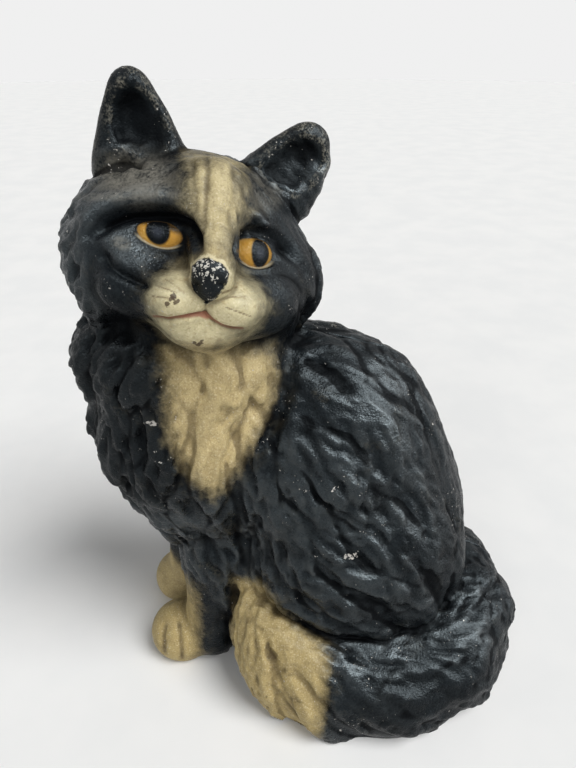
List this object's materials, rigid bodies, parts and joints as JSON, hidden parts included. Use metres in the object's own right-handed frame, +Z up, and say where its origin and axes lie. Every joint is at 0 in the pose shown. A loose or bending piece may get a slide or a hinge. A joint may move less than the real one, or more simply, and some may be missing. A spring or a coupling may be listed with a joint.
{
  "type": "figural doorstop",
  "caption": "Hollow cast iron doorstop in the form of a sitting long-haired cat, two painted half castings drawn together by one screw.",
  "frame": {"origin": "middle of the figure's outline, on the ground that it stands on", "axes": "+Z up; -X the way the chest points; -Y the side that the face looks to, square to the parting plane"},
  "size_m": [0.1594, 0.1018, 0.2162],
  "materials": {
    "front_paint": "satin black paint with cream and gold areas, chipped on the high points",
    "rear_paint": "satin black paint, chipped on the high points",
    "screw_steel": "plain steel, lightly tarnished"
  },
  "bodies": {
    "root": {"front_half_casting": "front_paint", "rear_half_casting": "rear_paint", "assembly_screw": "screw_steel"}
  },
  "joints": []
}
